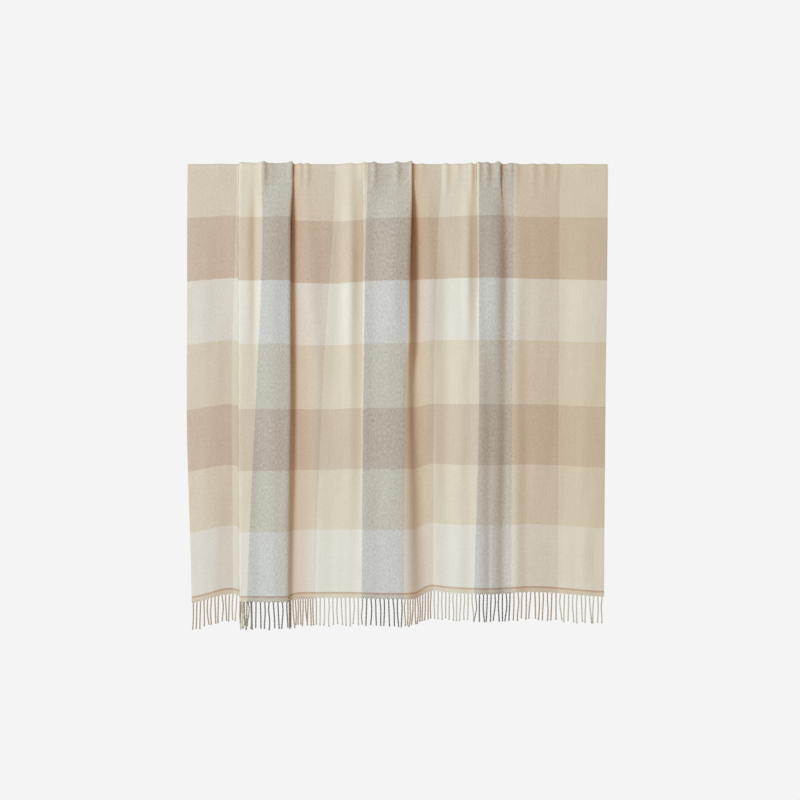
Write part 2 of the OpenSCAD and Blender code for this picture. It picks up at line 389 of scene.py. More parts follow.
def drop_grid(side, hem):
    """The cloth's middle from the crest to the contrast line: its points, and for each one its place (u, w)
    in the weave and how open it is on its outer and on its inner side."""
    rows = row_lengths(QUARTER - float(np.mean(hem)))
    depth = np.maximum(rows - QUARTER, 0)
    x, stand = woven_places(np.maximum(depth - RAIL_R, 0), side)
    for place, half, height, foot in RIPPLES:
        bell = np.exp(-(((x / MM - place) / half) ** 2))
        stand = stand + bell * (1 - ease(depth / MM / foot))[:, None] * height * MM
    if side < 0:
        stand = stand + label_bed(x, -depth[:, None]) * (LABEL_STAND - stand)
    radius = BEND_R + stand
    angle = np.minimum(rows / QUARTER, 1)[:, None] * math.pi / 2
    over = rows[:, None] < QUARTER
    fall = (depth / depth[-1])[:, None] * hem[None, :]
    y = side * radius * np.sin(angle)
    z = np.where(over, radius * np.cos(angle), fall)
    if side < 0:
        w = np.where(over, CREST_W[None, :] - rows[:, None], woven_height(fall, hem))
    else:
        w = CREST_W[None, :] + (WOVEN_LEN - CREST_W[None, :]) * (rows / rows[-1])[:, None]
    open_out, open_in = pinched(openness(x, radius, side), depth), openness(x, -radius, -side)
    places = np.dstack([np.broadcast_to(COLUMNS, x.shape), w, open_out, open_in])
    return np.dstack([x, y, z]), places


def woven_height(fall, hem):
    """w on the front drop at the height fall, between the rail and the hem."""
    part = np.clip((fall - hem) / (FIRST_ROW - hem), 0, 1)
    stretched = ROWS_IN_FRONT * part + ROW_STRETCH * np.sin(math.pi * part)
    return np.where(fall > FIRST_ROW, ROWS_IN_FRONT + fall - FIRST_ROW, stretched)


def pinched(open_share, depth):
    """The openness of each point once the pleats near the rail are pinched, which deepens the shade painted
    into them there.
    """
    pinch = PINCH * (1 - ease((depth[:, None] - PINCH_START) / (PINCH_END - PINCH_START)))
    shut = 1 - open_share
    return 1 - np.minimum(shut * (1 + pinch * shut), MOST_SHUT + (1 - MOST_SHUT) * pinch / PINCH)


def label_bed(x, z):
    """1 where the cloth lies flat against the care label, and 0 away from it."""
    low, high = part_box("care_label")[0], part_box("care_label_tab")[1]
    half_x, half_z = (high[0] - low[0]) / 2, (high[2] - low[2]) / 2
    over_x = np.maximum(np.abs(x - (low[0] + half_x)) - half_x, 0) / LABEL_REACH_X
    over_z = np.maximum(np.abs(z - (low[2] + half_z)) - half_z, 0) / LABEL_REACH_Z
    return (1 - ease(over_x)) * (1 - ease(over_z))


def openness(x, stand, lit_from):
    """How far each point of a folded line is open to the side that stand grows towards: 1 on the flat, 0 in
    a fold. The wall towards the lamp counts for more than the other. The lamp is at low x where lit_from is
    -1, and at high x where it is 1. The material paints shade into the folds by it."""
    right, left = np.zeros_like(x), np.zeros_like(x)
    for k in range(1, OPEN_REACH):
        dx, ds = x[:, k:] - x[:, :-k], stand[:, k:] - stand[:, :-k]
        right[:, :-k] = np.maximum(right[:, :-k], np.arctan2(ds, dx))
        left[:, k:] = np.maximum(left[:, k:], math.pi - np.arctan2(-ds, -dx) % (2 * math.pi))
    near, far = (left, right) if lit_from < 0 else (right, left)
    return np.clip(1 - (near + FAR_WALL_SHARE * far) / math.pi, 0, 1)


def tail_grid(drop, places, drops):
    """Rows that carry a drop's last row on downwards by each of drops."""
    last = drop[-1]
    points = np.stack([last - np.array([0, 0, d]) for d in drops])
    step = -1 if places[-1, 0, 1] < WOVEN_LEN / 2 else 1
    woven = np.stack([places[-1] + np.array([0, step * d, 0, 0]) for d in drops])
    return points, woven


def outward(points):
    """Unit normals of a grid of points whose rows run from the front hem over the rail to the back hem."""
    across, along = np.gradient(points, axis=1), np.gradient(points, axis=0)
    normal = np.cross(across, along)
    return normal / np.linalg.norm(normal, axis=2, keepdims=True)


# The share of its thickness that the cloth keeps at a selvedge's two columns, and at the header's end
SELVEDGE_SHARES = ((0, 0.45), (1, 0.85), (-2, 0.85), (-1, 0.45))
HEADER_END_SHARE = 0.6


def edge_thickness(rows, cols, round_rows=()):
    """The cloth's thickness over a grid, thinner at the two selvedges and at the rows in round_rows."""
    thick = np.full((rows, cols), CLOTH_T)
    for col, share in SELVEDGE_SHARES:
        thick[:, col] *= share
    for row in round_rows:
        thick[row] *= HEADER_END_SHARE
    return thick


# ---- Meshes ----


def mesh_object(name, points, faces, woven, material):
    """A smooth mesh with the place of each point in the weave as its UV map, in metres."""
    mesh = bpy.data.meshes.new(name)
    mesh.from_pydata([tuple(p) for p in points.tolist()], [], [tuple(f) for f in faces.tolist()])
    corner = np.empty(len(mesh.loops), np.int32)
    mesh.loops.foreach_get("vertex_index", corner)
    layer = mesh.uv_layers.new(name="weave")
    layer.data.foreach_set("uv", woven[corner].astype(np.float32).ravel())
    mesh.polygons.foreach_set("use_smooth", np.ones(len(mesh.polygons), bool))
    mesh.materials.append(material)
    obj = bpy.data.objects.new(name, mesh)
    bpy.context.scene.collection.objects.link(obj)
    return obj


def cloth_shell(name, middle, out, thick, places, material):
    """A closed piece of cloth, from its middle grid and each point's outward normal and thickness."""
    rows, cols = middle.shape[:2]
    half = (thick / 2)[..., None] * out
    points = np.concatenate([(middle + half).reshape(-1, 3), (middle - half).reshape(-1, 3)])
    woven = np.concatenate([places[..., :2].reshape(-1, 2)] * 2)
    index = np.arange(rows * cols).reshape(rows, cols)
    outer = np.dstack([index[:-1, :-1], index[:-1, 1:], index[1:, 1:], index[1:, :-1]]).reshape(-1, 4)
    inner = outer[:, ::-1] + rows * cols
    ring = np.concatenate([index[0], index[1:, -1], index[-1, -2::-1], index[-2:0:-1, 0]])
    after = np.roll(ring, -1)
    rim = np.stack([after, ring, ring + rows * cols, after + rows * cols], axis=1)
    obj = mesh_object(name, points, np.concatenate([outer, inner, rim]), woven, material)
    if places.shape[2] > 2:
        # Each point's openness, by which the material paints shade into the folds
        open_side = np.concatenate([places[..., 2].ravel(), places[..., 3].ravel()])
        fold = obj.data.attributes.new("open_side", "FLOAT", "POINT")
        fold.data.foreach_set("value", open_side.astype(np.float32))
    mark_sharp(obj, rows, cols)
    return obj


def mark_sharp(obj, rows, cols):
    """Marks a cloth shell's cut ends and its selvedges as sharp."""
    cut_rows = np.zeros(2 * rows * cols, bool)
    for first in (0, (rows - 1) * cols, rows * cols, (2 * rows - 1) * cols):
        cut_rows[first : first + cols] = True
    col = np.arange(2 * rows * cols) % cols
    selvedge = (col == 0) | (col == cols - 1)
    edges = np.empty(2 * len(obj.data.edges), np.int32)
    obj.data.edges.foreach_get("vertices", edges)
    edges = edges.reshape(-1, 2)
    apart = np.abs(edges[:, 0] - edges[:, 1])
    along_cut = cut_rows[edges].all(axis=1) & (apart == 1)
    along_selvedge = selvedge[edges].all(axis=1) & (apart == cols)
    sharp = obj.data.attributes.new("sharp_edge", "BOOLEAN", "EDGE")
    sharp.data.foreach_set("value", along_cut | along_selvedge)


# ---- Tassels ----

TASSELS_IN = {"rose": 11, "cream": 11, "grey": 10}
TASSEL_PITCH = CLOTH_W / sum(TASSELS_IN[c] for c in STRIPE_COLOURS)
STRAND_R = 1.15 * MM
TWIST_R = 0.95 * MM
TWIST_PITCH = 7.5 * MM
# The two strands of a tassel leave the header this far to each side, meet over this length, and start to
# twist at this share of it
GATHER = 2.7 * MM
JOIN_LEN = 8 * MM
TWIST_FROM = 0.4
# A strand takes its colour from the warp this far to its own side of the tassel
YARN_REACH = 4.0 * MM
RING_STEP = 1.35 * MM
STRAND_SIDES = 6
# A strand swells and thins by this share over this length
UNEVEN, UNEVEN_PITCH = 0.1, 11 * MM
# A strand frays from this share of its length on: it thins and parts from the other by these shares
FRAYED_FROM, FRAY_THIN, FRAY_PARTS = 0.95, 0.35, 0.7
# How far a strand's rounded ends stand out beyond its first and last ring, as shares of its radius
TOP_CAP, TIP_CAP = 0.5, -0.7
# How far a tassel's tip leans along the hem (mean and spread), how strong its kink is, and how far the
# tip stands out from the cloth
LEAN, LEAN_SPREAD = 0.4 * MM, 1.9 * MM
KINK_SPREAD = 0.8 * MM
STAND_SPREAD = 0.8 * MM
# A tassel starts this far up inside the header, and its length differs from the fringe's by these at most
ROOT_IN = 2 * MM
SHORTER, LONGER = -2 * MM, 5 * MM
FRINGE_SEED = 11


def strand_tube(path, radii, points, faces, woven, u):
    """Adds one strand: rings of points round a path that runs downwards, closed at both ends."""
    sides = np.arange(STRAND_SIDES) * 2 * math.pi / STRAND_SIDES
    ring = np.stack([np.cos(sides), np.sin(sides), np.zeros(STRAND_SIDES)], axis=1)
    start = len(points)
    for i, (p, r) in enumerate(zip(path, radii)):
        points.extend((p + ring * r).tolist())
        woven.extend([(u, i / (len(path) - 1))] * STRAND_SIDES)
    for i in range(len(path) - 1):
        for j in range(STRAND_SIDES):
            a, b = start + i * STRAND_SIDES + j, start + i * STRAND_SIDES + (j + 1) % STRAND_SIDES
            faces.append((b, a, a + STRAND_SIDES, b + STRAND_SIDES))
    for i, at in ((0, start), (len(path) - 1, start + (len(path) - 1) * STRAND_SIDES)):
        points.append(tuple(path[i] + np.array([0, 0, radii[i] * (TOP_CAP if i == 0 else TIP_CAP)])))
        woven.append((u, i / (len(path) - 1)))
        tip = len(points) - 1
        for j in range(STRAND_SIDES):
            a, b = at + j, at + (j + 1) % STRAND_SIDES
            faces.append((a, b, tip) if i == 0 else (b, a, tip))


def tassel(root, along, u, rng, length, points, faces, woven):
    """Adds one tassel: two strands that leave the header apart, meet, and twist round each other."""
    count = int(length / RING_STEP)
    t = np.linspace(0, 1, count)
    run = t * length
    lean, kink = rng.gauss(LEAN, LEAN_SPREAD), rng.gauss(0, KINK_SPREAD)
    bend, phase = rng.uniform(0.5, 1.1), rng.uniform(0, 2 * math.pi)
    wander = np.sin(2 * math.pi * bend * t + phase) - math.sin(phase) * (1 - t)
    sway = lean * t**1.5 + kink * wander * ease(t * 3)
    out = rng.gauss(0, STAND_SPREAD) * t + 0.5 * kink * np.sin(2 * math.pi * t) * t
    start = rng.uniform(0, 2 * math.pi)
    turn = np.maximum(run - JOIN_LEN * TWIST_FROM, 0) * 2 * math.pi / TWIST_PITCH
    apart = 1 - ease(run / JOIN_LEN)
    fray = ease((t - FRAYED_FROM) / (1 - FRAYED_FROM))
    swollen = 1 + UNEVEN * np.sin(run * 2 * math.pi / UNEVEN_PITCH + start)
    radii = STRAND_R * swollen * (1 - FRAY_THIN * fray)
    for which in (-1, 1):
        side = which * (GATHER * apart)
        twist = which * TWIST_R * (1 - apart) * (1 + FRAY_PARTS * fray)
        x = root[0] + along[0] * side + np.cos(turn) * twist + sway
        y = root[1] + along[1] * side + np.sin(turn) * twist + out
        path = np.stack([x, y, root[2] - run], axis=1)
        strand_tube(path, radii, points, faces, woven, u + which * YARN_REACH)


def fringe(prefix, header, material, seed):
    """The tassels below a header, one piece for each stripe. header is the row of points they hang from."""
    rng = random.Random(seed)
    tangent = np.gradient(header, axis=0)
    tangent = tangent[:, :2] / np.linalg.norm(tangent[:, :2], axis=1, keepdims=True)
    made, first = [], 0
    for number, colour in enumerate(STRIPE_COLOURS, 1):
        points, faces, woven = [], [], []
        for i in range(first, first + TASSELS_IN[colour]):
            u = (i + 0.5) * TASSEL_PITCH
            root = np.array([np.interp(u, COLUMNS, header[:, k]) for k in range(3)])
            root = root + np.array([0, 0, ROOT_IN])
            along = np.array([np.interp(u, COLUMNS, tangent[:, k]) for k in range(2)])
            length = FRINGE_LEN + rng.uniform(SHORTER, LONGER)
            tassel(root, along, u, rng, length, points, faces, woven)
        first += TASSELS_IN[colour]
        node = f"{prefix}_tassels_{number:02d}_{colour}"
        points, faces, woven = np.array(points), np.array(faces, dtype=object), np.array(woven)
        obj = mesh_object(node + "_yarn", points, faces, woven, material)
        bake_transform(obj)
        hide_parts(node)
        made.append(obj)
    return made


# ---- Care label ----

TAPE_COLUMNS = 13
TAB_ROWS, FLAP_ROWS = 4, 24
FLAP_BULGE = 0.5 * MM
# The share of the bulge that is missing at the tape's two sides
SIDE_DROP = 0.35
# The share of its thickness that the tape keeps at its edges
TAPE_EDGE_SHARE = 0.5
STITCHES = 6
STITCH_RINGS, STITCH_SIDES = 9, 8
# Where a stitch starts and how long it is, as shares of the pitch
STITCH_GAP, STITCH_LEN = 0.12, 0.76
# The height and the thickness of a stitch's ends, and its flatness, as shares of its middle
END_LIFT, END_GIRTH, STITCH_FLAT = 0.2, 0.55, 0.8


def tape(name, box, rows, bulge, material):
    """A strip of folded tape that fills a CAD box, a little bowed away from the cloth."""
    low, high = box
    shape = (rows, TAPE_COLUMNS)
    across, down = np.linspace(0, 1, TAPE_COLUMNS), np.linspace(0, 1, rows)
    x = np.broadcast_to(low[0] + (high[0] - low[0]) * across, shape)
    z = np.broadcast_to((high[2] + (low[2] - high[2]) * down)[:, None], shape)
    bow = np.sin(math.pi * down)[:, None] * (1 - SIDE_DROP * (2 * across - 1) ** 2)[None, :]
    y = (low[1] + high[1]) / 2 + bulge * bow
    middle = np.dstack([x, y, z])
    out = np.broadcast_to(np.array([0.0, 1.0, 0.0]), middle.shape)
    thick = np.full(shape, high[1] - low[1])
    thick[:, [0, -1]] *= TAPE_EDGE_SHARE
    thick[[0, -1]] *= TAPE_EDGE_SHARE
    places = np.dstack([x - low[0], z - low[2]])
    return cloth_shell(name, middle, out, thick, places, material)


def stitch_row(name, box, material):
    """A row of raised stitches along a CAD box."""
    low, high = box
    points, faces, woven = [], [], []
    pitch, radius = (high[0] - low[0]) / STITCHES, (high[2] - low[2]) / 2
    t = np.linspace(0, 1, STITCH_RINGS)
    arch = np.sin(math.pi * t)
    lift = radius * (END_LIFT + (1 - END_LIFT) * arch)
    girth = radius * (END_GIRTH + (1 - END_GIRTH) * arch)
    for i in range(STITCHES):
        x = low[0] + (i + STITCH_GAP + STITCH_LEN * t) * pitch
        base = len(points)
        for k in range(STITCH_RINGS):
            for j in range(STITCH_SIDES):
                a = j * 2 * math.pi / STITCH_SIDES
                y = low[1] + lift[k] + girth[k] * math.cos(a) * STITCH_FLAT
                points.append((x[k], y, (low[2] + high[2]) / 2 + girth[k] * math.sin(a)))
                woven.append((x[k] - low[0], a * radius))
        for k in range(STITCH_RINGS - 1):
            ring = base + k * STITCH_SIDES
            for j in range(STITCH_SIDES):
                a, b = ring + j, ring + (j + 1) % STITCH_SIDES
                faces.append((a, a + STITCH_SIDES, b + STITCH_SIDES, b))
        last = base + (STITCH_RINGS - 1) * STITCH_SIDES
        faces.append(tuple(base + j for j in range(STITCH_SIDES)))
        faces.append(tuple(last + STITCH_SIDES - 1 - j for j in range(STITCH_SIDES)))
    return mesh_object(name, np.array(points), np.array(faces, dtype=object), np.array(woven), material)


# ---- Materials ----


def rgb(r, g, b):
    """A colour given as screen values from 0 to 255, as the shader wants it."""
    def line(c):
        c /= 255
        return c / 12.92 if c <= 0.04045 else ((c + 0.055) / 1.055) ** 2.4
    return (line(r), line(g), line(b), 1)


WARP = {"rose": rgb(203, 192, 180), "cream": rgb(221, 218, 205), "grey": rgb(172, 174, 174)}
WEFT = {"white": rgb(224, 221, 211), "beige": rgb(211, 197, 170), "brown": rgb(188, 159, 127)}
LINE_WEFT = rgb(184, 134, 88)
HEADER_WEFT = rgb(222, 209, 182)
# How much of the weft shows in the contrast line and in the header
LINE_SHARE, HEADER_SHARE = 0.54, 0.5
# The contrast line's colour gives way to the header's over this length of warp
WEFT_CHANGE = 4 * MM
# Painted shade in the folds, a warm tint for the light that the wool has coloured itself and a deeper one
# where a fold hangs over: the openness where each begins, where it is full, and its colour
PAINTED_FOLD_SHADES = ((0.97, 0.5, rgb(255, 228, 203)), (0.42, 0.12, rgb(170, 138, 108)))
# The painted warm shade towards the right selvedge, where less of the lamp's light reaches, and the u where
# it begins and where it is full
PAINTED_RIGHT_WARMTH = rgb(253, 247, 241)
PAINTED_WARMTH_FROM, PAINTED_WARMTH_FULL = 1.0, 1.2
CLOTH_SHEEN = 0.12
# How far a yarn strays over the edge of its stripe or row
YARN_STRAY = 1.3 * MM
# How much less of the weft shows on each warp than on the others
WEFT_HIDDEN = {"rose": (0, 0, 0, 1), "cream": (0, 0, 0, 1), "grey": (0.08, 0.08, 0.08, 1)}
# How strongly each warp's fibre is mottled
FLECK = {"rose": (0.25, 0.25, 0.25, 1), "cream": (0.12, 0.12, 0.12, 1), "grey": (0.55, 0.55, 0.55, 1)}
# The tassels' colours: the warp's yarn, darkened with painted shade for the shadow inside the twisted strands
TASSEL_YARN_AND_SHADE = {"rose": rgb(179, 155, 124), "cream": rgb(200, 195, 173), "grey": rgb(108, 106, 99)}


class Wiring:
    """Short calls for one material's nodes."""

    def __init__(self, name):
        self.material = bpy.data.materials.new(name)
        self.material.use_nodes = True
        self.tree = self.material.node_tree
        self.shader = self.tree.nodes["Principled BSDF"]

    def node(self, kind, **settings):
        made = self.tree.nodes.new(kind)
        for key, value in settings.items():
            setattr(made, key, value)
        return made

    def put(self, socket, value):
        if isinstance(value, bpy.types.NodeSocket):
            self.tree.links.new(value, socket)
        else:
            socket.default_value = value

    def math(self, operation, a, b=0.0, c=0.0):
        made = self.node("ShaderNodeMath", operation=operation)
        for socket, value in zip(made.inputs, (a, b, c)):
            self.put(socket, value)
        return made.outputs[0]

    def mix(self, share, a, b, blend="MIX"):
        made = self.node("ShaderNodeMix", data_type="RGBA", blend_type=blend)
        self.put(made.inputs[0], share)
        self.put(made.inputs[6], a)
        self.put(made.inputs[7], b)
        return made.outputs[2]

    def reach(self, value, start, full):
        """0 where value is start, 1 where it is full, and even between them."""
        made = self.node("ShaderNodeMapRange")
        for socket, setting in zip(made.inputs, (value, start, full, 0.0, 1.0)):
            self.put(socket, setting)
        return made.outputs[0]

    def tinted(self, share, colour, tint):
        return self.mix(share, colour, self.mix(1.0, colour, tint, "MULTIPLY"))

    def grey(self, value):
        """A value as a colour."""
        made = self.node("ShaderNodeCombineColor")
        for socket in made.inputs[:3]:
            self.put(socket, value)
        return made.outputs[0]

    def shaded(self, colour, shade):
        return self.mix(1.0, colour, self.grey(shade), "MULTIPLY")

    def bands(self, place, edges, colours):
        """The colour of the band that place falls in. edges are the bands' starts, as shares of the whole."""
        made = self.node("ShaderNodeValToRGB")
        ramp = made.color_ramp
        ramp.interpolation = "CONSTANT"
        while len(ramp.elements) < len(edges):
            ramp.elements.new(0.5)
        for element, edge, colour in zip(ramp.elements, edges, colours):
            element.position = edge
        for element, colour in zip(ramp.elements, colours):
            element.color = colour
        self.put(made.inputs[0], place)
        return made.outputs[0]

    def weave_place(self):
        """The point's u and w in the weave, in metres, and both as one vector."""
        uv = self.node("ShaderNodeUVMap", uv_map="weave")
        parts = self.node("ShaderNodeSeparateXYZ")
        self.put(parts.inputs[0], uv.outputs[0])
        return parts.outputs[0], parts.outputs[1], uv.outputs[0]

    def noise(self, vector, across, along, detail=2.0, rough=0.5, shift=0.0):
        """Noise from 0 to 1 whose grains are about across by along metres."""
        scale = self.node("ShaderNodeVectorMath", operation="MULTIPLY_ADD")
        self.put(scale.inputs[0], vector)
        self.put(scale.inputs[1], (1 / across, 1 / along, 1))
        self.put(scale.inputs[2], (shift, shift * 0.7, shift * 1.3))
        made = self.node("ShaderNodeTexNoise", noise_dimensions="3D")
        self.put(made.inputs["Vector"], scale.outputs[0])
        made.inputs["Scale"].default_value = 1.0
        made.inputs["Detail"].default_value = detail
        made.inputs["Roughness"].default_value = rough
        return made.outputs[0]

    def swing(self, value, amount):
        """A noise value from 0 to 1 as a number round 1, give or take amount."""
        return self.math("MULTIPLY_ADD", value, 2 * amount, 1 - amount)

    def bump(self, height, depth, strength=1.0):
        made = self.node("ShaderNodeBump")
        made.inputs["Strength"].default_value = strength
        made.inputs["Distance"].default_value = depth
        self.put(made.inputs["Height"], height)
        self.put(self.shader.inputs["Normal"], made.outputs[0])

    def wool(self, colour, sheen, rough=0.9):
        self.put(self.shader.inputs["Base Color"], colour)
        self.shader.inputs["Roughness"].default_value = rough
        self.shader.inputs["Specular IOR Level"].default_value = 0.25
        self.shader.inputs["Sheen Weight"].default_value = sheen
        self.shader.inputs["Sheen Roughness"].default_value = 0.55


def warp_colour(nodes, u, colours):
    edges = [float(e) / CLOTH_W for e in STRIPE_EDGES[:-1]]
    return nodes.bands(nodes.math("MULTIPLY", u, 1 / CLOTH_W), edges, [colours[c] for c in STRIPE_COLOURS])


def heathered(nodes, warp, u, place):
    """Mottles a warp colour with flecks of lighter and darker fibre, which are strongest in the grey, and
    with fine streaks along the warp."""
    flecks = nodes.noise(place, 1.5 * MM, 4.0 * MM, detail=3.0, rough=0.75)
    clumps = nodes.noise(place, 3.4 * MM, 8 * MM, detail=1.0, shift=13.0)
    streaks = nodes.noise(place, 3.0 * MM, 60 * MM, detail=2.0, shift=9.0)
    fleck, clump = (nodes.math("MULTIPLY_ADD", value, 2.0, -1.0) for value in (flecks, clumps))
    fleck = nodes.math("ADD", fleck, clump)
    amount = warp_colour(nodes, u, FLECK)
    mottle = nodes.math("MULTIPLY_ADD", fleck, amount, 1.0)
    shade = nodes.math("MULTIPLY", mottle, nodes.swing(streaks, 0.1))
    return nodes.shaded(warp, shade)


def painted_fold_shade(nodes, colour):
    """Paints shade into a colour inside the folds: warm where the wool is seen mostly by light that it has
    coloured itself, and deeper where a fold hangs over it."""
    side = nodes.node("ShaderNodeAttribute", attribute_name="open_side").outputs["Fac"]
    for start, full, tint in PAINTED_FOLD_SHADES:
        colour = nodes.tinted(nodes.reach(side, start, full), colour, tint)
    return colour


def painted_right_warmth(nodes, u, colour):
    """Paints a little warm shade into the wool towards the right selvedge, where less of the lamp's light
    reaches.
    """
    return nodes.tinted(nodes.reach(u, PAINTED_WARMTH_FROM, PAINTED_WARMTH_FULL), colour, PAINTED_RIGHT_WARMTH)


def twill(nodes, u, w, place):
    """Height of a brushed twill: slanting ribs of yarn, partly hidden by loose fibre."""
    yarn = 1.15 * MM
    slant = nodes.math("SINE", nodes.math("MULTIPLY", nodes.math("ADD", u, w), math.pi / yarn))
    rib = nodes.math("SINE", nodes.math("MULTIPLY", u, 2 * math.pi / yarn))
    weave = nodes.math("MULTIPLY_ADD", slant, 0.5, nodes.math("MULTIPLY", rib, 0.25))
    nap = nodes.noise(place, 0.9 * MM, 1.5 * MM, detail=4.0, rough=0.65, shift=4.0)
    felt = nodes.noise(place, 6 * MM, 9 * MM, detail=2.0, shift=17.0)
    return nodes.math("ADD", nodes.math("MULTIPLY_ADD", nap, 1.8, weave), nodes.math("MULTIPLY", felt, 1.4))


def checked_wool():
    nodes = Wiring("checked_wool")
    u, w, place = nodes.weave_place()
    stray = nodes.noise(place, 1.4 * MM, 1.4 * MM, shift=30.0)
    jitter = nodes.math("MULTIPLY_ADD", stray, 2 * YARN_STRAY, -YARN_STRAY)
    warp = warp_colour(nodes, nodes.math("ADD", u, jitter), WARP)
    row_edges = [i / len(ROW_COLOURS) for i in range(len(ROW_COLOURS))]
    row_place = nodes.math("MULTIPLY", nodes.math("ADD", w, jitter), 1 / WOVEN_LEN)
    weft = nodes.bands(row_place, row_edges, [WEFT[c] for c in ROW_COLOURS])
    over = nodes.noise(place, 1.5 * MM, 1.9 * MM, detail=3.0, rough=0.7, shift=2.0)
    share = nodes.math("MULTIPLY_ADD", over, 0.8, 0.1)
    share = nodes.math("SUBTRACT", share, warp_colour(nodes, u, WEFT_HIDDEN))
    cloth = nodes.mix(share, heathered(nodes, warp, u, place), weft)
    bars = nodes.noise(place, 40 * MM, 1.6 * MM, detail=2.0, shift=12.0)
    clouds = nodes.noise(place, 90 * MM, 120 * MM, detail=2.0, shift=21.0)
    shade = nodes.math("MULTIPLY", nodes.swing(bars, 0.035), nodes.swing(clouds, 0.03))
    # The right selvedge's side gets painted warm shade here
    cloth = painted_right_warmth(nodes, u, nodes.shaded(cloth, shade))
    # Shade is painted into the folds' colour here
    nodes.wool(painted_fold_shade(nodes, cloth), sheen=CLOTH_SHEEN)
    nodes.bump(twill(nodes, u, w, place), 0.22 * MM, 0.55)
    return nodes.material


def weft_band(name, first_weft, weft, share_of_weft):
    """The wool of the contrast line or of the header band: the warp's colours under a weft, which next to
    the line still has the colour first_weft."""
    nodes = Wiring(name)
    u, w, place = nodes.weave_place()
    warp = heathered(nodes, warp_colour(nodes, u, WARP), u, place)
    past_line = nodes.math("ABSOLUTE", nodes.math("SUBTRACT", w, WOVEN_LEN / 2))
    line_end = WOVEN_LEN / 2 + LINE_H
    weft = nodes.mix(nodes.reach(past_line, line_end, line_end + WEFT_CHANGE), first_weft, weft)
    over = nodes.noise(place, 1.6 * MM, 1.0 * MM, detail=3.0, rough=0.7, shift=5.0)
    share = nodes.math("MULTIPLY_ADD", over, 0.5, share_of_weft - 0.25)
    share = nodes.math("SUBTRACT", share, warp_colour(nodes, u, WEFT_HIDDEN))
    # Painted shade in the folds and painted warm shade towards the right selvedge go into this colour
    nodes.wool(painted_right_warmth(nodes, u, painted_fold_shade(nodes, nodes.mix(share, warp, weft))), sheen=CLOTH_SHEEN)
    picks = nodes.math("SINE", nodes.math("MULTIPLY", w, 2 * math.pi / (1.5 * MM)))
    nap = nodes.noise(place, 0.9 * MM, 1.1 * MM, detail=4.0, rough=0.65, shift=8.0)
    nodes.bump(nodes.math("MULTIPLY_ADD", nap, 1.8, picks), 0.25 * MM, 0.7)
    return nodes.material


def tassel_yarn_and_shade():
    nodes = Wiring("tassel_yarn_and_shade")
    u, along, _ = nodes.weave_place()
    # The yarn's colour carries painted shade for the shadow inside the strands
    colour = warp_colour(nodes, u, TASSEL_YARN_AND_SHADE)
    spot = nodes.node("ShaderNodeTexCoord").outputs["Object"]
    fibres = nodes.noise(spot, 0.8 * MM, 0.8 * MM, detail=3.0, rough=0.7)
    slow = nodes.noise(spot, 9 * MM, 9 * MM, detail=1.0, shift=6.0)
    # The last part of a strand gets darker towards its tip
    tip = nodes.math("SMOOTH_MIN", nodes.math("MULTIPLY_ADD", along, -6.0, 6.55), 1.0, 0.1)
    uneven = nodes.math("MULTIPLY", nodes.swing(fibres, 0.22), nodes.swing(slow, 0.1))
    shade = nodes.math("MULTIPLY", uneven, tip)
    nodes.wool(nodes.shaded(colour, shade), sheen=0.3)
    nodes.bump(fibres, 0.3 * MM, 0.6)
    return nodes.material


def label_tape():
    nodes = Wiring("label_tape")
    _, w, place = nodes.weave_place()
    ribs = nodes.math("SINE", nodes.math("MULTIPLY", w, 2 * math.pi / (0.5 * MM)))
    threads = nodes.noise(place, 0.3 * MM, 2.0 * MM, detail=3.0)
    colour = nodes.mix(threads, rgb(236, 233, 226), rgb(248, 246, 240))
    nodes.wool(colour, sheen=0.1, rough=0.55)
    nodes.bump(nodes.math("ADD", ribs, threads), 0.06 * MM, 0.6)
    return nodes.material


def sewing_thread():
    nodes = Wiring("sewing_thread")
    u, w, place = nodes.weave_place()
    ply = nodes.math("SINE", nodes.math("MULTIPLY", nodes.math("ADD", u, w), 2 * math.pi / (0.45 * MM)))
    fuzz = nodes.noise(place, 0.2 * MM, 0.2 * MM, detail=3.0, shift=3.0)
    nodes.wool(nodes.mix(fuzz, rgb(205, 190, 164), rgb(226, 212, 188)), sheen=0.1, rough=0.6)
    nodes.bump(nodes.math("ADD", ply, fuzz), 0.05 * MM, 0.8)
    return nodes.material


# ---- The throw ----


